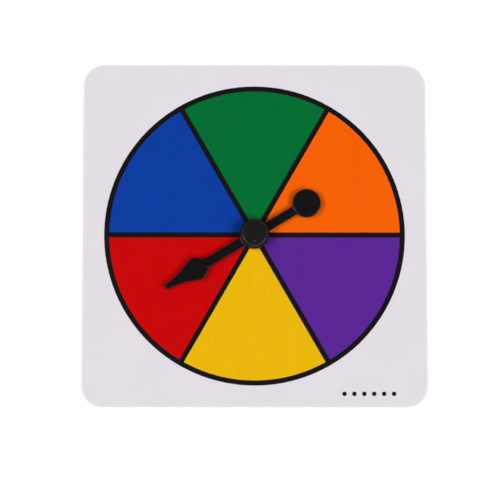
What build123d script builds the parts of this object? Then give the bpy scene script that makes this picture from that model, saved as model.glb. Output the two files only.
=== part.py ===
from build123d import *

import os
from math import cos, radians, sin

# Table-top game spinner: a square plastic board, a screen-printed colour wheel, and a moulded
# pointer that turns on a two-piece snap rivet.
#
# Frame: millimetres, +Z up, origin on the pivot axis at the underside of the rivet's flange,
# which is what the spinner stands on. +Y points to the top edge of the printed board.

# ---------------------------------------------------------------- board
board_side = 101.6          # 4 in square
board_thickness = 1.5
board_corner_radius = 6.35  # 1/4 in
board_edge_break = 0.2      # softened die-cut edges
board_hole_radius = 2.6

# ---------------------------------------------------------------- printed wheel
wheel_line_width = 1.5              # a little over 4 points
wheel_line_radius = 43.55           # centre line of the outer ring
sector_count = 6
sector_names = ["orange", "green", "blue", "red", "yellow", "purple"]  # anticlockwise from +X
colour_film = 0.03                  # ink thickness of the colour passes
black_film = 0.05                   # the black pass is laid last and stands a little proud
mark_dot_radius = 0.65              # row of plain dots in the lower right corner
mark_dot_pitch = 2.9
mark_centre = (33.5, -46.7)

# ---------------------------------------------------------------- rivet
flange_radius = 6.5
flange_thickness = 1.0
flange_edge_radius = 0.35
barrel_radius = 2.5
barrel_bore_radius = 1.4
barrel_lead_in = 0.3
groove_depth = 0.2                  # snap groove in the bore
groove_height = 0.7
groove_centre = 1.9                 # above the flange's underside
cap_radius = 3.95
cap_thickness = 1.5
cap_edge_radius = 0.6
cap_pin_radius = 1.37
cap_pin_end = 0.5                   # the pin stops this far above the flange's underside
cap_pin_lead_in = 0.3
pin_slot_width = 0.5
pin_slot_height = 2.6
snap_bead_radius = 1.52
snap_bead_play = 0.05               # between each end of the bead and its groove
gate_radius = 0.3                   # gate mark left on the cap by the mould
gate_height = 0.1
gate_root = 0.1                     # how far the mark's solid reaches down into the cap
gate_offset = 2.25

# ---------------------------------------------------------------- pointer
running_clearance = 0.08            # radial, between the pointer's bore and the barrel
end_float = 0.2                     # the pointer's axial play under the cap
foot_clearance = 0.1                # between the pointer's foot and the print
hub_radius = 4.4
hub_height = 3.6
hub_foot_radius = 3.8               # narrower foot that slides on the board
hub_foot_height = 0.45
hub_edge_radius = 0.3
pointer_angle = 211.1               # where the pointer is stopped, from +X

arm_width = 2.8
arm_thickness = 1.25
arm_underside = 0.9                 # above the board's top face
arm_edge_radius = 0.3
tail_web_radius = 1.2               # plan radius where an arm runs into the round tail
head_web_radius = 2.8               # and into the head

tail_distance = 17.85               # pivot to the centre of the round tail
tail_radius = 4.2
tail_below_arm = 0.58               # this thickness balances the pointer on its pivot
tail_above_arm = 0.45
head_distance = 19.85               # pivot to the centre of the round back of the head
head_radius = 3.35
head_below_arm = 0.1
head_above_arm = 0.35
disc_edge_radius = 0.45
head_flank_angle = 21.5             # between the head's flanks and the pointer's axis
head_flank_length = 2.5
head_neck_radius = 20.0             # hollow curve that leads each flank into the tip
head_neck_turn = 17.5
tip_end = 30.7                      # pivot to the very end of the tip
tip_radius = 0.77
under_edge_radius = 0.15

# ---------------------------------------------------------------- levels
board_bottom = flange_thickness
board_top = board_bottom + board_thickness
hub_bottom = board_top + black_film + foot_clearance
hub_top = hub_bottom + hub_foot_height + hub_height
cap_bottom = hub_top + end_float
arm_bottom = board_top + arm_underside
arm_top = arm_bottom + arm_thickness


def circle_at(radius, x=0.0, y=0.0):
    return Pos(x, y) * Circle(radius)


def slab(sketch, bottom, top):
    """The sketch, drawn on the XY plane, as a solid from one height to another."""
    return Pos(0, 0, bottom) * extrude(sketch, amount=top - bottom)


def edges_at(solid, height):
    """The edges that lie flat at this height."""
    return solid.edges().filter_by_position(Axis.Z, height - 1e-4, height + 1e-4)


def make_board():
    outline = RectangleRounded(board_side, board_side, board_corner_radius)
    board = slab(outline - Circle(board_hole_radius), board_bottom, board_top)
    rims = edges_at(board, board_bottom) + edges_at(board, board_top)
    return fillet(rims, board_edge_break)


def sector_sketch(index):
    """One coloured sector, inside the ring and between the edges of two spokes."""
    span = 360.0 / sector_count
    inner_ring = wheel_line_radius - wheel_line_width / 2
    middle = radians(span * (index + 0.5))
    corner_distance = wheel_line_width / 2 / sin(radians(span / 2))
    corner = (corner_distance * cos(middle), corner_distance * sin(middle))
    far = 2 * inner_ring  # beyond the ring, which trims the wedge
    first, last = radians(span * index), radians(span * (index + 1))
    wedge = Polygon(
        corner,
        (corner[0] + far * cos(first), corner[1] + far * sin(first)),
        (corner[0] + far * cos(middle) * 2, corner[1] + far * sin(middle) * 2),
        (corner[0] + far * cos(last), corner[1] + far * sin(last)),
        align=None,
    )
    return (wedge & Circle(inner_ring)) - Circle(board_hole_radius + board_edge_break)


def make_sector(index):
    return slab(sector_sketch(index), board_top, board_top + colour_film)


def make_black_print():
    """The ring and the spokes, printed in one pass, and a row of dots by the board's corner."""
    ring_outer = wheel_line_radius + wheel_line_width / 2
    web = Circle(ring_outer)
    for index in range(sector_count):
        web -= sector_sketch(index)
    web -= Circle(board_hole_radius + board_edge_break)
    print_pass = [slab(web, board_top, board_top + black_film)]
    for index in range(sector_count):
        x = mark_centre[0] + (index - (sector_count - 1) / 2) * mark_dot_pitch
        dot = circle_at(mark_dot_radius, x, mark_centre[1])
        print_pass.append(slab(dot, board_top, board_top + black_film))
    return Compound(print_pass)


def make_rivet_base():
    """The flanged half of the rivet: a disc under the board and a tube that the pointer turns on."""
    flange = slab(Circle(flange_radius), 0, flange_thickness)
    flange = fillet(edges_at(flange, 0), flange_edge_radius)
    barrel = slab(Circle(barrel_radius), 0, cap_bottom)
    barrel = chamfer(edges_at(barrel, cap_bottom), barrel_lead_in)
    base = flange + barrel
    base -= slab(Circle(barrel_bore_radius), 0, cap_bottom)
    groove_bottom = groove_centre - groove_height / 2
    groove = slab(
        Circle(barrel_bore_radius + groove_depth), groove_bottom, groove_bottom + groove_height
    )
    return base - groove


def make_rivet_cap():
    """The top half of the rivet: a round head over the pointer and a split pin that snaps home."""
    cap_top = cap_bottom + cap_thickness
    head = slab(Circle(cap_radius), cap_bottom, cap_top)
    head = fillet(edges_at(head, cap_top), cap_edge_radius)
    head = fillet(edges_at(head, cap_bottom), under_edge_radius)
    pin = slab(Circle(cap_pin_radius), cap_pin_end, cap_bottom)
    pin = chamfer(edges_at(pin, cap_pin_end), cap_pin_lead_in)
    bead_height = groove_height / 2 - snap_bead_play
    bead_up = Pos(0, 0, groove_centre + bead_height / 2) * Cone(
        snap_bead_radius, cap_pin_radius, bead_height
    )
    bead_down = Pos(0, 0, groove_centre - bead_height / 2) * Cone(
        cap_pin_radius, snap_bead_radius, bead_height
    )
    slot = Pos(0, 0, cap_pin_end) * Box(
        pin_slot_width,
        4 * cap_pin_radius,
        pin_slot_height,
        align=(Align.CENTER, Align.CENTER, Align.MIN),
    )
    gate = slab(circle_at(gate_radius, 0, -gate_offset), cap_top - gate_root, cap_top + gate_height)
    return head + (pin + bead_up + bead_down - slot) + gate


def head_sketch():
    """The arrow head in plan, pointing along +X: a round back, straight flanks and a narrow tip."""
    flank = radians(head_flank_angle)
    start = (head_distance + head_radius * sin(flank), head_radius * cos(flank))
    neck = (
        start[0] + head_flank_length * cos(flank),
        start[1] - head_flank_length * sin(flank),
    )
    tip_centre = tip_end - tip_radius
    with BuildSketch() as sketch:
        with BuildLine():
            Line(start, neck)
            hollow = JernArc(
                start=neck,
                tangent=(cos(flank), -sin(flank)),
                radius=head_neck_radius,
                arc_size=head_neck_turn,
            )
            Line(hollow @ 1, (tip_centre, tip_radius))
            CenterArc((tip_centre, 0), tip_radius, 90, -90)
            Line((tip_end, 0), (head_distance, 0))
            Line((head_distance, 0), start)
        make_face()
        mirror(about=Plane.XZ)
    return sketch.sketch + circle_at(head_radius, head_distance)


def arm_corners(plan, side):
    """Where the arm's two edges meet its disc, on the head's side (1) or on the tail's (-1)."""
    near = [v for v in plan.vertices() if v.X * side > 0]
    return [v for v in near if abs(abs(v.Y) - arm_width / 2) < 1e-3]


def arm_sketch():
    """Both arms in plan, with a web where each one runs into its disc."""
    length = head_distance + tail_distance
    arms = Pos((head_distance - tail_distance) / 2, 0) * Rectangle(length, arm_width)
    plan = arms + circle_at(head_radius, head_distance) + circle_at(tail_radius, -tail_distance)
    plan = fillet(arm_corners(plan, 1), head_web_radius)
    return fillet(arm_corners(plan, -1), tail_web_radius)


def rounded(solid, bottom, top, top_radius):
    """Rounds the edges of a moulded slab: more on its top face than underneath."""
    solid = fillet(edges_at(solid, top), top_radius)
    return fillet(edges_at(solid, bottom), under_edge_radius)


def make_pointer():
    arms = rounded(slab(arm_sketch(), arm_bottom, arm_top), arm_bottom, arm_top, arm_edge_radius)
    tail_bottom, tail_top = arm_bottom - tail_below_arm, arm_top + tail_above_arm
    tail = slab(circle_at(tail_radius, -tail_distance), tail_bottom, tail_top)
    tail = rounded(tail, tail_bottom, tail_top, disc_edge_radius)
    head_bottom, head_top = arm_bottom - head_below_arm, arm_top + head_above_arm
    head = slab(head_sketch(), head_bottom, head_top)
    head = rounded(head, head_bottom, head_top, disc_edge_radius)
    hub_shoulder = hub_bottom + hub_foot_height
    hub = slab(Circle(hub_radius), hub_shoulder, hub_top)
    hub = fillet(edges_at(hub, hub_top) + edges_at(hub, hub_shoulder), hub_edge_radius)
    foot = slab(Circle(hub_foot_radius), hub_bottom, hub_shoulder)
    foot = fillet(edges_at(foot, hub_bottom), under_edge_radius)
    bore = slab(Circle(barrel_radius + running_clearance), hub_bottom, hub_top)
    pointer = arms + tail + head + hub + foot - bore
    return Rot(0, 0, pointer_angle) * pointer


def main():
    os.makedirs("parts", exist_ok=True)
    parts = {
        "board": make_board(),
        "print_black": make_black_print(),
        "rivet_base": make_rivet_base(),
        "rivet_cap": make_rivet_cap(),
        "pointer": make_pointer(),
    }
    for index, name in enumerate(sector_names):
        parts[f"print_{name}"] = make_sector(index)
    for name, shape in parts.items():
        export_step(shape, f"parts/{name}.step")


main()
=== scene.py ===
import math

import bmesh
import bpy
from mathutils import Matrix, Vector


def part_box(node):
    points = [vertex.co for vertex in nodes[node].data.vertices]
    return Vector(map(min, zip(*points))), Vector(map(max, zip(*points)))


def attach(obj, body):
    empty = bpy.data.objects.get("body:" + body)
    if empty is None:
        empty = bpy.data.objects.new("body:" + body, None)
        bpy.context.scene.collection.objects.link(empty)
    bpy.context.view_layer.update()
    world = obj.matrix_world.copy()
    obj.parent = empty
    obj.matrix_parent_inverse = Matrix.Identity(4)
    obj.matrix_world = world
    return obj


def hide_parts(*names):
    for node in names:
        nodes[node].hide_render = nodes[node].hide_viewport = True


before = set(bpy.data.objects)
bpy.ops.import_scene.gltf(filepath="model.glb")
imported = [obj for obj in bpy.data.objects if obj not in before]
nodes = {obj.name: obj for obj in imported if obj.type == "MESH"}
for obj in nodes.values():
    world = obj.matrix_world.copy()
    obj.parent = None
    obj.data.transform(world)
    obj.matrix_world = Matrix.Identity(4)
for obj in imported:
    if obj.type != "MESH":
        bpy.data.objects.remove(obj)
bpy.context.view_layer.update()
mm = 0.001
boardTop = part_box("board")[1].z
mostOfNoise = (0.3, 0.7)        # nearly all the values of a noise texture lie in here
middleOfNoise = (0.35, 0.65)    # and most of them in here
print("frame loaded:", len(nodes), "CAD pieces")


def hexToLinear(hexColour):
    channels = [int(hexColour[i:i + 2], 16) / 255 for i in (1, 3, 5)]
    linear = [c / 12.92 if c <= 0.04045 else ((c + 0.055) / 1.055) ** 2.4 for c in channels]
    return (*linear, 1.0)


def addNode(tree, kind, inputs=None, **settings):
    # an input is a plain value or another node's output
    node = tree.nodes.new("ShaderNode" + kind)
    for setting, value in settings.items():
        setattr(node, setting, value)
    for socket, source in (inputs or {}).items():
        if isinstance(source, bpy.types.NodeSocket):
            tree.links.new(source, node.inputs[socket])
        else:
            node.inputs[socket].default_value = source
    return node


def startMaterial(name):
    material = bpy.data.materials.new(name)
    material.use_nodes = True
    tree = material.node_tree
    tree.nodes.clear()
    place = addNode(tree, "TexCoord").outputs["Object"]  # metres, from the foot of the pivot
    return material, tree, place


def finishMaterial(tree, ior, colour, roughness, normal):
    shader = addNode(tree, "BsdfPrincipled", {
        "Base Color": colour,
        "Roughness": roughness,
        "Normal": normal,
        "IOR": ior,
    })
    addNode(tree, "OutputMaterial", {"Surface": shader.outputs["BSDF"]})


def speckMask(tree, place, spacing, width, share):
    # one round speck with a soft edge in each cell of this spacing, kept in this share of the cells
    cells = addNode(tree, "TexVoronoi", {"Vector": place, "Scale": 1 / spacing})
    disc = addNode(tree, "MapRange", {
        "Value": cells.outputs["Distance"],
        "From Min": 0.35 * width / spacing,
        "From Max": 0.55 * width / spacing,
        "To Min": 1.0,
        "To Max": 0.0,
    })
    draw = addNode(tree, "SeparateColor", {"Color": cells.outputs["Color"]})
    kept = addNode(tree, "Math", {0: draw.outputs["Red"], 1: share}, operation="LESS_THAN")
    mask = addNode(tree, "Math", {0: disc.outputs["Result"], 1: kept.outputs[0]}, operation="MULTIPLY")
    return mask.outputs[0]


# board: white high-impact polystyrene sheet, extruded between polished rolls and die-cut
# it looks satin and faintly pink, with long shallow draw lines; a painted highlight makes the
# rim a cleaner white, and handling leaves a few grey specks and fine scuffs on the face
boardFinish = {
    "ior": 1.59,
    "white": "#E0DBE1",
    "shade": "#DAD5DB",
    "cloud": 24 * mm,
    # painted edge highlight: a cleaner white strip along the rim
    "rimHighlight": "#E2E2E4",
    "rimWidth": 0.4 * mm,
    "rimFade": 0.3 * mm,
    "drawLine": 1.1 * mm,       # really about 0.3 mm apart, drawn coarser so that they show
    "drawLineLength": 60 * mm,
    "drawLineDepth": 0.0016 * mm,
    "peel": 0.8 * mm,           # orange peel left by the rolls
    "peelDepth": 0.0018 * mm,
    "roughness": (0.34, 0.44),
    "scuff": 14 * mm,
    "speckSpacing": 11 * mm,
    "speckWidth": 0.3 * mm,
    "speckShare": 0.3,
    "speck": "#A9A4A7",
}
boardShape = {"cornerRadius": 6.35 * mm}


def makeSheet(finish):
    material, tree, place = startMaterial("whitePolystyreneSheet")
    cloud = addNode(tree, "TexNoise", {"Vector": place, "Scale": 1 / finish["cloud"], "Detail": 2.0})
    tone = addNode(tree, "Mix", {
        0: cloud.outputs["Fac"], 6: hexToLinear(finish["white"]), 7: hexToLinear(finish["shade"]),
    }, data_type="RGBA")
    # distance in from the die-cut outline, a square with round corners
    low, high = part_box("board")
    halfSide = (high.x - low.x) / 2
    cornerRadius = boardShape["cornerRadius"]
    fold = addNode(tree, "VectorMath", {0: place}, operation="ABSOLUTE")
    inner = addNode(tree, "VectorMath", {
        0: fold.outputs["Vector"], 1: (halfSide - cornerRadius, halfSide - cornerRadius, 1.0),
    }, operation="SUBTRACT")
    clipped = addNode(tree, "VectorMath", {0: inner.outputs["Vector"], 1: (0, 0, 0)}, operation="MAXIMUM")
    reach = addNode(tree, "VectorMath", {0: clipped.outputs["Vector"]}, operation="LENGTH")
    # painted highlight: the outer strip inside the die-cut outline is lightened as if its edge caught the
    # light
    rim = addNode(tree, "MapRange", {
        "Value": reach.outputs["Value"],
        "From Min": cornerRadius - finish["rimWidth"] - finish["rimFade"],
        "From Max": cornerRadius - finish["rimWidth"],
    })
    withRimHighlight = addNode(tree, "Mix", {
        0: rim.outputs["Result"], 6: tone.outputs[2], 7: hexToLinear(finish["rimHighlight"]),
    }, data_type="RGBA")
    specks = speckMask(tree, place, finish["speckSpacing"], finish["speckWidth"], finish["speckShare"])
    colour = addNode(tree, "Mix", {
        0: specks, 6: withRimHighlight.outputs[2], 7: hexToLinear(finish["speck"]),
    }, data_type="RGBA")
    scuff = addNode(tree, "TexNoise", {"Vector": place, "Scale": 1 / finish["scuff"], "Detail": 5.0})
    roughness = addNode(tree, "MapRange", {
        "Value": scuff.outputs["Fac"], "From Min": mostOfNoise[0], "From Max": mostOfNoise[1],
        "To Min": finish["roughness"][0], "To Max": finish["roughness"][1],
    })
    along = addNode(tree, "Mapping", {
        "Vector": place,
        "Scale": (1 / finish["drawLine"], 1 / finish["drawLineLength"], 1 / finish["drawLine"]),
    })
    drawLines = addNode(tree, "TexNoise", {"Vector": along.outputs["Vector"], "Scale": 1.0, "Detail": 1.0})
    lineBump = addNode(tree, "Bump", {
        "Height": drawLines.outputs["Fac"], "Distance": finish["drawLineDepth"],
    })
    peel = addNode(tree, "TexNoise", {"Vector": place, "Scale": 1 / finish["peel"], "Detail": 2.0})
    peelBump = addNode(tree, "Bump", {
        "Height": peel.outputs["Fac"], "Distance": finish["peelDepth"], "Normal": lineBump.outputs["Normal"],
    })
    finishMaterial(
        tree, finish["ior"], colour.outputs[2], roughness.outputs["Result"], peelBump.outputs["Normal"]
    )
    return material


# inks: solvent screen inks for plastics, one squeegee pass for each colour
# they look saturated, flat and semi-gloss, with a slight mottle, faint streaks along the
# squeegee's pull, a mesh ripple, and a few pinholes where the white sheet shows
inkFinish = {
    "ior": 1.5,
    "mottle": 5 * mm,
    "mottleDepth": 0.06,
    "streak": 1.6 * mm,
    "streakLength": 45 * mm,
    "streakDepth": 0.025,
    "meshPitch": 0.45 * mm,     # a 0.15 mm mesh, drawn three times as coarse so that it shows
    "meshDepth": 0.0014 * mm,
    "ripple": 1.3 * mm,
    "rippleDepth": 0.0022 * mm,
    "roughness": (0.3, 0.4),
    "pinholeSpacing": 9 * mm,
    "pinholeWidth": 0.32 * mm,
    "pinholeShare": 0.28,
    "pinhole": "#C9C2C6",
}
inkColours = {
    "orange": "#F15F00",
    "green": "#006B30",
    "blue": "#073B9D",
    "red": "#C40002",
    "yellow": "#E8B304",
    "purple": "#582492",
    "black": "#151315",
}


def makeInk(name, hexColour, finish):
    material, tree, place = startMaterial("screenInk" + name.capitalize())
    full = hexToLinear(hexColour)
    mottle = addNode(tree, "TexNoise", {"Vector": place, "Scale": 1 / finish["mottle"], "Detail": 3.0})
    along = addNode(tree, "Mapping", {
        "Vector": place,
        "Scale": (1 / finish["streak"], 1 / finish["streakLength"], 1 / finish["streak"]),
    })
    streaks = addNode(tree, "TexNoise", {"Vector": along.outputs["Vector"], "Scale": 1.0, "Detail": 2.0})
    thin = (*[c * (1 - finish["mottleDepth"]) for c in full[:3]], 1.0)
    laid = addNode(tree, "Mix", {0: mottle.outputs["Fac"], 6: full, 7: thin}, data_type="RGBA")
    pulled = addNode(tree, "MapRange", {
        "Value": streaks.outputs["Fac"], "From Min": middleOfNoise[0], "From Max": middleOfNoise[1],
        "To Min": 1 + finish["streakDepth"] / 2, "To Max": 1 - finish["streakDepth"] / 2,
    })
    tone = addNode(tree, "VectorMath", {
        0: laid.outputs[2], "Scale": pulled.outputs["Result"],
    }, operation="SCALE")
    pinholes = speckMask(
        tree, place, finish["pinholeSpacing"], finish["pinholeWidth"], finish["pinholeShare"]
    )
    colour = addNode(tree, "Mix", {
        0: pinholes, 6: tone.outputs["Vector"], 7: hexToLinear(finish["pinhole"]),
    }, data_type="RGBA")
    roughness = addNode(tree, "MapRange", {
        "Value": mottle.outputs["Fac"], "From Min": mostOfNoise[0], "From Max": mostOfNoise[1],
        "To Min": finish["roughness"][0], "To Max": finish["roughness"][1],
    })
    threads = [  # at a scale of 1 a wave texture has a band every tau/20 units
        addNode(tree, "TexWave", {
            "Vector": place, "Scale": math.tau / (20 * finish["meshPitch"]), "Distortion": 0.4,
        }, bands_direction=direction)
        for direction in ("X", "Y")
    ]
    weave = addNode(tree, "Math", {
        0: threads[0].outputs["Fac"], 1: threads[1].outputs["Fac"],
    }, operation="MULTIPLY")
    meshBump = addNode(tree, "Bump", {"Height": weave.outputs[0], "Distance": finish["meshDepth"]})
    ripple = addNode(tree, "TexNoise", {"Vector": place, "Scale": 1 / finish["ripple"], "Detail": 2.0})
    rippleBump = addNode(tree, "Bump", {
        "Height": ripple.outputs["Fac"], "Distance": finish["rippleDepth"],
        "Normal": meshBump.outputs["Normal"],
    })
    finishMaterial(
        tree, finish["ior"], colour.outputs[2], roughness.outputs["Result"], rippleBump.outputs["Normal"]
    )
    return material


# pointer: black polystyrene, injection moulded in a spark-eroded tool
# it looks deep black and semi-gloss; the tool leaves an even fine grain, the melt leaves soft
# flow clouds, and use leaves hairline scratches and a little lint
pointerFinish = {
    "name": "blackMouldedPolystyrene",
    "ior": 1.59,
    "black": "#0E0C0D",
    "cloud": "#161414",
    "flow": 5 * mm,
    "grain": 0.35 * mm,         # a 0.1 mm grain, drawn coarser so that it shows
    "grainDepth": 0.0018 * mm,
    "roughness": (0.26, 0.36),
    "scratch": 0.5 * mm,
    "scratchLength": 9 * mm,
    "scratchAngle": 35,
    "lintSpacing": 3 * mm,
    "lintShare": 0.25,
    "lintWidth": 0.16 * mm,
    "lint": "#5A5655",
}

# gate: the rivet's nylon where its sprue was twisted off, so it looks torn and dull; its paler colour is
# partly stress whitening and partly a painted highlight for the glint on the stub
gateFinishWithGlint = {
    "name": "stressWhitenedNylonWithGlint",
    "ior": 1.53,
    "black": "#262425",
    "cloud": "#3C393A",
    "flow": 0.3 * mm,
    "grain": 0.15 * mm,
    "grainDepth": 0.02 * mm,
    "roughness": (0.4, 0.55),
    "scratch": 0.2 * mm,
    "scratchLength": 0.4 * mm,
    "scratchAngle": 35,
    "lintSpacing": 3 * mm,
    "lintShare": 0.25,
    "lintWidth": 0.05 * mm,
    "lint": "#5E5A59",
}

# rivet: black nylon, injection moulded; a shade lighter and more satin than the pointer
rivetFinish = {
    "name": "blackMouldedNylon",
    "ior": 1.53,
    "black": "#141314",
    "cloud": "#1D1B1D",
    "flow": 3 * mm,
    "grain": 0.4 * mm,          # really about 0.1 mm too
    "grainDepth": 0.0035 * mm,
    "roughness": (0.34, 0.44),
    "scratch": 0.4 * mm,
    "scratchLength": 5 * mm,
    "scratchAngle": 35,
    "lintSpacing": 3 * mm,
    "lintShare": 0.25,
    "lintWidth": 0.16 * mm,
    "lint": "#5E5A59",
}


def makeMoulding(finish):
    material, tree, place = startMaterial(finish["name"])
    flow = addNode(tree, "TexNoise", {
        "Vector": place, "Scale": 1 / finish["flow"], "Detail": 3.0, "Distortion": 0.6,
    })
    tone = addNode(tree, "Mix", {
        0: flow.outputs["Fac"], 6: hexToLinear(finish["black"]), 7: hexToLinear(finish["cloud"]),
    }, data_type="RGBA")
    lint = speckMask(tree, place, finish["lintSpacing"], finish["lintWidth"], finish["lintShare"])
    colour = addNode(tree, "Mix", {
        0: lint, 6: tone.outputs[2], 7: hexToLinear(finish["lint"]),
    }, data_type="RGBA")
    along = addNode(tree, "Mapping", {
        "Vector": place,
        "Rotation": (0, 0, math.radians(finish["scratchAngle"])),
        "Scale": (1 / finish["scratchLength"], 1 / finish["scratch"], 1 / finish["scratch"]),
    })
    scratches = addNode(tree, "TexNoise", {"Vector": along.outputs["Vector"], "Scale": 1.0, "Detail": 4.0})
    roughness = addNode(tree, "MapRange", {
        "Value": scratches.outputs["Fac"], "From Min": middleOfNoise[0], "From Max": middleOfNoise[1],
        "To Min": finish["roughness"][0], "To Max": finish["roughness"][1],
    })
    grain = addNode(tree, "TexNoise", {"Vector": place, "Scale": 1 / finish["grain"], "Detail": 3.0})
    relief = addNode(tree, "Bump", {"Height": grain.outputs["Fac"], "Distance": finish["grainDepth"]})
    finishMaterial(
        tree, finish["ior"], colour.outputs[2], roughness.outputs["Result"], relief.outputs["Normal"]
    )
    return material


def dress(node, material):
    # a CAD piece keeps its mesh and takes this material all over
    mesh = nodes[node].data
    mesh.materials.clear()
    mesh.materials.append(material)
    for face in mesh.polygons:
        face.material_index = 0


dress("board", makeSheet(boardFinish))
for name, hexColour in inkColours.items():
    dress("print_" + name, makeInk(name, hexColour, inkFinish))
pointerPlastic = makeMoulding(pointerFinish)
rivetPlastic = makeMoulding(rivetFinish)
gateGlintPlastic = makeMoulding(gateFinishWithGlint)
dress("rivet_base", rivetPlastic)
print("board, prints and rivet base finished")


# mesh making: every shape below is drawn in millimetres and becomes metres in makePiece

def arc(centre, radius, first, last, steps):
    # points on an arc, angles in degrees
    turns = [math.radians(first + (last - first) * i / steps) for i in range(steps + 1)]
    return [(centre[0] + radius * math.cos(t), centre[1] + radius * math.sin(t)) for t in turns]


def addRings(bm, rings):
    # joins closed loops of points, one above another, and closes the two ends
    loops = [[bm.verts.new(point) for point in ring] for ring in rings]
    count = len(loops[0])
    for lower, upper in zip(loops, loops[1:]):
        for i in range(count):
            j = (i + 1) % count
            bm.faces.new((lower[i], lower[j], upper[j], upper[i]))
    bm.faces.new(list(reversed(loops[0])))
    bm.faces.new(loops[-1])


def addPlate(bm, outline, bottom, top, topEdge, underEdge, steps=5):
    # outline runs anticlockwise; both edges are rounded, each by its own radius
    count = len(outline)
    inward = []
    for i in range(count):
        before, after = Vector(outline[i - 1]), Vector(outline[(i + 1) % count])
        along = (after - before).normalized()
        inward.append(Vector((-along.y, along.x)))
    levels = []
    for i in range(steps + 1):
        turn = math.pi / 2 * i / steps
        levels.append((underEdge * (1 - math.sin(turn)), bottom + underEdge * (1 - math.cos(turn))))
    for i in range(steps + 1):
        turn = math.pi / 2 * i / steps
        levels.append((topEdge * (1 - math.cos(turn)), top - topEdge * (1 - math.sin(turn))))
    addRings(bm, [
        [(x + inset * n.x, y + inset * n.y, height) for (x, y), n in zip(outline, inward)]
        for inset, height in levels
    ])


def addLathe(bm, profile, centre=(0, 0), turns=96, closed=False):
    # profile is (radius, height) from the bottom up; a closed one makes a ring with a bore
    rings = []
    for radius, height in profile:
        if radius == 0:
            rings.append([bm.verts.new((centre[0], centre[1], height))])
            continue
        rings.append([
            bm.verts.new((centre[0] + x, centre[1] + y, height))
            for x, y in arc((0, 0), radius, 0, 360 - 360 / turns, turns - 1)
        ])
    pairs = list(zip(rings, rings[1:]))
    if closed:
        pairs.append((rings[-1], rings[0]))
    for lower, upper in pairs:
        for i in range(turns):
            j = (i + 1) % turns
            corners = [lower[i % len(lower)], lower[j % len(lower)]]
            corners += [upper[j % len(upper)], upper[i % len(upper)]]
            bm.faces.new(list(dict.fromkeys(corners)))  # a triangle beside a single point


def makePiece(name, bm, material):
    bmesh.ops.scale(bm, vec=(mm, mm, mm), verts=bm.verts)
    bmesh.ops.recalc_face_normals(bm, faces=bm.faces)
    mesh = bpy.data.meshes.new(name)
    bm.to_mesh(mesh)
    bm.free()
    mesh.materials.append(material)
    piece = bpy.data.objects.new(name, mesh)
    bpy.context.scene.collection.objects.link(piece)
    return piece


def applyModifiers(piece):
    # leaves the piece with its final mesh and no modifiers
    depsgraph = bpy.context.evaluated_depsgraph_get()
    mesh = bpy.data.meshes.new_from_object(piece.evaluated_get(depsgraph))
    piece.modifiers.clear()
    piece.data = mesh
    for face in mesh.polygons:
        face.use_smooth = True


# pointer: one moulding, balanced on its hub, with a round tail and an arrow head
# its shapes are drawn along +X and then turned to where the pointer is stopped
pointerShape = {
    "hubRadius": 4.4,
    "hubEdge": 0.12,
    "footRadius": 3.8,
    "footHeight": 0.45,
    "boreRadius": 2.58,
    "armHalfWidth": 1.4,
    "armUnderside": 0.9,        # above the board
    "armThickness": 1.25,
    "armEdge": 0.3,
    "armRoot": 3.2,             # the arms start inside the hub's wall
    "tailDistance": 17.85,
    "tailRadius": 4.2,
    "tailBelow": 0.58,          # below and above the arm
    "tailAbove": 0.45,
    "tailCrown": 0.08,
    "tailWeb": 1.2,
    "headDistance": 19.85,
    "headRadius": 3.35,
    "headBelow": 0.1,
    "headAbove": 0.35,
    "headWeb": 2.8,
    "flankAngle": 21.5,
    "flankLength": 2.5,
    "neckRadius": 20.0,
    "neckTurn": 17.5,
    "tipEnd": 30.7,
    "tipRadius": 0.77,
    "topEdge": 0.45,
    "underEdge": 0.15,
    "blend": 0.11,              # grain of the mesh that melts the shapes into one moulding
    "softenFactor": 0.5,
    "softenPasses": 2,
}


def headOutline(shape):
    flank = math.radians(shape["flankAngle"])
    back = (shape["headDistance"], 0)
    half = arc(back, shape["headRadius"], 180, 90 - shape["flankAngle"], 28)
    neck = (
        half[-1][0] + shape["flankLength"] * math.cos(flank),
        half[-1][1] - shape["flankLength"] * math.sin(flank),
    )
    hollowCentre = (
        neck[0] + shape["neckRadius"] * math.sin(flank),
        neck[1] + shape["neckRadius"] * math.cos(flank),
    )
    first = 270 - shape["flankAngle"]
    half += arc(hollowCentre, shape["neckRadius"], first, first + shape["neckTurn"], 16)
    tipCentre = (shape["tipEnd"] - shape["tipRadius"], 0)
    half += arc(tipCentre, shape["tipRadius"], 88, 0, 9)  # the neck meets it just past its top
    mirrored = [(x, -y) for x, y in reversed(half[1:-1])]
    return list(reversed(half + mirrored))


def armOutline(shape, distance, radius, web):
    # from inside the hub to the middle of the disc, flaring where it meets the disc
    halfWidth = shape["armHalfWidth"]
    lift = halfWidth + web
    flare = math.sqrt((radius + web) ** 2 - lift ** 2)
    webCentre = (distance - flare, lift)
    last = math.degrees(math.atan2(-lift, flare))
    half = [(shape["armRoot"], halfWidth)]
    half += arc(webCentre, web, -90, last, 8)
    half.append((distance, halfWidth))
    return [(x, -y) for x, y in half] + list(reversed(half))


def discProfile(radius, bottom, top, crown, topEdge, underEdge):
    under = arc((radius - underEdge, bottom + underEdge), underEdge, -90, 0, 4)
    edge = arc((radius - topEdge, top - crown - topEdge), topEdge, 0, 86, 8)
    rise = [
        (edge[-1][0] * (1 - i / 6), top - crown * (1 - i / 6) ** 2)
        for i in range(1, 7)
    ]
    return [(0, bottom)] + under + edge + rise


def hubProfile(shape, bottom, top):
    shoulder = bottom + shape["footHeight"]
    edge = shape["hubEdge"]
    rim = shape["hubRadius"] - edge
    return (
        [(shape["boreRadius"], bottom), (shape["footRadius"] - shape["underEdge"], bottom)]
        + [(shape["footRadius"], bottom + shape["underEdge"]), (shape["footRadius"], shoulder)]
        + arc((rim, shoulder + edge), edge, -90, 0, 5)
        + arc((rim, top - edge), edge, 0, 90, 5)
        + [(shape["boreRadius"], top)]
    )


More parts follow.
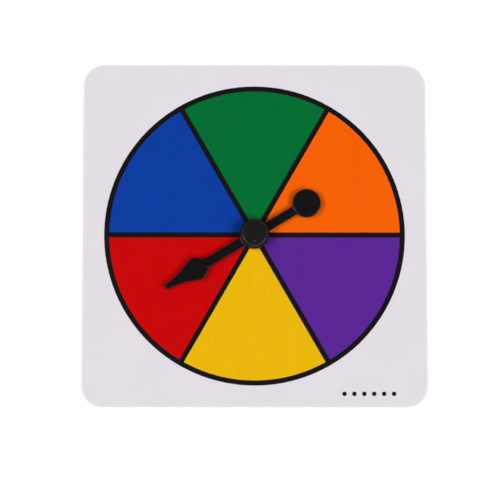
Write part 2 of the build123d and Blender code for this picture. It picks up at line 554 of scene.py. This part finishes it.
def makePointer(shape):
    low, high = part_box("pointer")
    armBottom = boardTop / mm + shape["armUnderside"]
    armTop = armBottom + shape["armThickness"]
    bm = bmesh.new()
    addLathe(bm, hubProfile(shape, low.z / mm, high.z / mm), closed=True)
    headArm = armOutline(shape, shape["headDistance"], shape["headRadius"], shape["headWeb"])
    addPlate(bm, headArm, armBottom, armTop, shape["armEdge"], shape["underEdge"])
    tailArm = armOutline(shape, shape["tailDistance"], shape["tailRadius"], shape["tailWeb"])
    tailArm = [(-x, -y) for x, y in tailArm]
    addPlate(bm, tailArm, armBottom, armTop, shape["armEdge"], shape["underEdge"])
    headBottom, headTop = armBottom - shape["headBelow"], armTop + shape["headAbove"]
    addPlate(bm, headOutline(shape), headBottom, headTop, shape["topEdge"], shape["underEdge"])
    tail = discProfile(
        shape["tailRadius"], armBottom - shape["tailBelow"], armTop + shape["tailAbove"],
        shape["tailCrown"], shape["topEdge"], shape["underEdge"],
    )
    addLathe(bm, tail, (-shape["tailDistance"], 0))
    tip = max(nodes["pointer"].data.vertices, key=lambda vertex: vertex.co.xy.length).co
    bmesh.ops.rotate(bm, matrix=Matrix.Rotation(math.atan2(tip.y, tip.x), 3, "Z"), verts=bm.verts)
    piece = makePiece("spinnerPointer", bm, pointerPlastic)
    melt = piece.modifiers.new("melt", "REMESH")
    melt.mode = "VOXEL"
    melt.voxel_size = shape["blend"] * mm
    melt.adaptivity = 0
    soften = piece.modifiers.new("soften", "SMOOTH")
    soften.factor = shape["softenFactor"]
    soften.iterations = shape["softenPasses"]
    applyModifiers(piece)
    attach(piece, "pointer")
    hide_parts("pointer")
    return piece


pointerPiece = makePointer(pointerShape)
print("pointer moulded:", len(pointerPiece.data.polygons), "faces")


# rivet cap: a low crowned button with a split pin below it and the broken gate on top
capShape = {
    "radius": 3.95,
    "thickness": 1.5,
    "crown": 0.1,
    "edge": 0.8,
    "underEdge": 0.15,
    "pinRadius": 1.37,
    "pinEnd": 0.5,
    "pinTaper": 0.3,
    "beadRadius": 1.52,
    "beadHeight": 1.9,
    "beadHalf": 0.3,
    "slotWidth": 0.5,
    "slotTop": 3.1,
    "gateOffset": 2.3,
    "gateRadius": 0.34,
    "gateHeight": 0.1,
    "gateRoot": 0.4,            # how far the stub reaches down into the cap
    "gateLip": 0.03,            # height at which it starts to narrow
    "gateNarrow": 0.75,
    "gateDish": 0.5,            # how much of its height is left in the torn middle
    "sharpAngle": 35,
}


def capProfile(shape, bottom, top):
    pin, bead, half = shape["pinRadius"], shape["beadHeight"], shape["beadHalf"]
    head = discProfile(shape["radius"], bottom, top, shape["crown"], shape["edge"], shape["underEdge"])
    return [
        (0, shape["pinEnd"]), (pin - shape["pinTaper"], shape["pinEnd"]),
        (pin, shape["pinEnd"] + shape["pinTaper"]), (pin, bead - half),
        (shape["beadRadius"], bead), (pin, bead + half), (pin, bottom),
    ] + head[1:]


def makeCap(shape):
    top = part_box("rivet_cap")[1].z / mm - shape["gateHeight"]
    bm = bmesh.new()
    addLathe(bm, capProfile(shape, top - shape["thickness"], top))
    gate = [
        (0, top - shape["gateRoot"]),
        (shape["gateRadius"], top - shape["gateRoot"]),
        (shape["gateRadius"], top + shape["gateLip"]),
        (shape["gateNarrow"] * shape["gateRadius"], top + shape["gateHeight"]),
        (0, top + shape["gateDish"] * shape["gateHeight"]),
    ]
    gateBm = bmesh.new()
    addLathe(gateBm, gate, (0, -shape["gateOffset"]), turns=20)
    slotBm = bmesh.new()
    halfSlot = shape["slotWidth"] / 2
    reach = 2 * shape["beadRadius"]
    addRings(slotBm, [
        [(-halfSlot, -reach, z), (halfSlot, -reach, z), (halfSlot, reach, z), (-halfSlot, reach, z)]
        for z in (0, shape["slotTop"])
    ])
    piece = makePiece("snapRivetCap", bm, rivetPlastic)
    # the gate stub takes the paler gate plastic, partly a painted highlight
    tools = [makePiece("gateStub", gateBm, gateGlintPlastic), makePiece("pinSlot", slotBm, rivetPlastic)]
    for tool, operation in zip(tools, ("UNION", "DIFFERENCE")):
        cut = piece.modifiers.new(operation.lower(), "BOOLEAN")
        cut.operation = operation
        cut.material_mode = "TRANSFER"
        cut.object = tool
    applyModifiers(piece)
    for tool in tools:
        bpy.data.objects.remove(tool)
    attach(piece, "base")
    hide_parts("rivet_cap")
    return piece


def sharpenEdges(piece, degrees):
    # smooth shading that breaks only at edges sharper than this
    bm = bmesh.new()
    bm.from_mesh(piece.data)
    for edge in bm.edges:
        edge.smooth = not (edge.is_manifold and edge.calc_face_angle() > math.radians(degrees))
    bm.to_mesh(piece.data)
    bm.free()


capPiece = makeCap(capShape)
sharpenEdges(capPiece, capShape["sharpAngle"])
print("rivet cap made:", len(capPiece.data.polygons), "faces")


# stage: an opal acrylic light table, so that only soft shadows are left on it
tableShape = {
    "radius": 4.0,
    "white": "#E6E6E6",
    "roughness": 0.8,
    "glow": 0.5,
}


def makeTable(shape):
    bm = bmesh.new()
    bmesh.ops.create_circle(bm, cap_ends=True, segments=96, radius=shape["radius"])
    mesh = bpy.data.meshes.new("lightTable")
    bm.to_mesh(mesh)
    bm.free()
    table = bpy.data.objects.new("lightTable", mesh)
    bpy.context.scene.collection.objects.link(table)
    material, tree = startMaterial("opalAcrylic")[:2]
    shader = addNode(tree, "BsdfPrincipled", {
        "Base Color": hexToLinear(shape["white"]),
        "Roughness": shape["roughness"],
        "Specular IOR Level": 0.0,
        "Emission Color": (1, 1, 1, 1),
        "Emission Strength": shape["glow"],
    })
    addNode(tree, "OutputMaterial", {"Surface": shader.outputs["BSDF"]})
    mesh.materials.append(material)


makeTable(tableShape)

# light: two broad soft sources high on the left and on the right, two small panels that only
# show as gloss, and a studio that is pale at the horizon and dim overhead
softLights = {
    "rightFront": {"azimuth": -46, "elevation": 55, "spread": 24, "strength": 1.1},
    "rightBack": {"azimuth": -16, "elevation": 56, "spread": 24, "strength": 1.1},
    "leftFront": {"azimuth": 205, "elevation": 56, "spread": 24, "strength": 0.96},
    "leftBack": {"azimuth": 170, "elevation": 58, "spread": 24, "strength": 0.96},
}
sunDistance = 1.0               # only where the lamp is drawn; it doesn't change the light
glossLights = {
    "leftPanel": {"azimuth": 200, "elevation": 38, "distance": 0.9, "size": 0.22, "watts": 1.4},
    "rightPanel": {"azimuth": -30, "elevation": 38, "distance": 0.9, "size": 0.22, "watts": 1.1},
}
studioSky = {
    "horizon": 1.0,
    "overhead": 0.015,
    "fadeStart": 0.06,          # height on the unit sphere where the pale band starts to fade
    "fadeEnd": 0.11,
}


def outwardFrom(azimuth, elevation):
    turn, lift = math.radians(azimuth), math.radians(elevation)
    return Vector((math.cos(turn) * math.cos(lift), math.sin(turn) * math.cos(lift), math.sin(lift)))


def placeLight(name, lamp, azimuth, elevation, distance):
    outward = outwardFrom(azimuth, elevation)
    light = bpy.data.objects.new(name, lamp)
    light.location = outward * distance
    light.rotation_euler = outward.to_track_quat("Z", "Y").to_euler()
    bpy.context.scene.collection.objects.link(light)
    return light


for name, setup in softLights.items():
    lamp = bpy.data.lights.new(name + "SoftLight", "SUN")
    lamp.energy = setup["strength"]
    lamp.angle = math.radians(setup["spread"])
    light = placeLight(name + "SoftLight", lamp, setup["azimuth"], setup["elevation"], sunDistance)
    light.visible_glossy = False

for name, setup in glossLights.items():
    lamp = bpy.data.lights.new(name, "AREA")
    lamp.shape = "SQUARE"
    lamp.size = setup["size"]
    lamp.energy = setup["watts"]
    light = placeLight(name, lamp, setup["azimuth"], setup["elevation"], setup["distance"])
    light.visible_diffuse = False

world = bpy.data.worlds.new("studio")
bpy.context.scene.world = world
world.use_nodes = True
sky = world.node_tree
skyPlace = addNode(sky, "TexCoord").outputs["Generated"]
skyHeight = addNode(sky, "SeparateXYZ", {"Vector": skyPlace}).outputs["Z"]
skyLevel = addNode(sky, "MapRange", {
    "Value": skyHeight,
    "From Min": studioSky["fadeStart"], "From Max": studioSky["fadeEnd"],
    "To Min": studioSky["horizon"], "To Max": studioSky["overhead"],
}, interpolation_type="SMOOTHSTEP")
sky.links.new(skyLevel.outputs["Result"], sky.nodes["Background"].inputs["Strength"])
sky.nodes["Background"].inputs["Color"].default_value = (1, 1, 1, 1)
bpy.context.scene.view_settings.view_transform = "Standard"
print("stage lit")

# camera: almost overhead, a little towards the lower edge of the board
cameraPlace = {
    "place": (-8.8 * mm, -63.7 * mm, boardTop + 596.6 * mm),
    "aim": (-4.3 * mm, -1.5 * mm, boardTop),
    "focalLength": 152.75,
    "sensorWidth": 36,
    "nearest": 0.01,
    "farthest": 20,
}
lens = bpy.data.cameras.new("camera")
lens.lens = cameraPlace["focalLength"]
lens.sensor_width = cameraPlace["sensorWidth"]
lens.clip_start = cameraPlace["nearest"]
lens.clip_end = cameraPlace["farthest"]
camera = bpy.data.objects.new("camera", lens)
camera.location = cameraPlace["place"]
back = (Vector(cameraPlace["place"]) - Vector(cameraPlace["aim"])).normalized()
right = Vector((0, 1, 0)).cross(back).normalized()  # keeps the board's top edge level
camera.rotation_euler = Matrix((right, back.cross(right), back)).transposed().to_euler()
bpy.context.scene.collection.objects.link(camera)
bpy.context.scene.camera = camera
print("camera set")
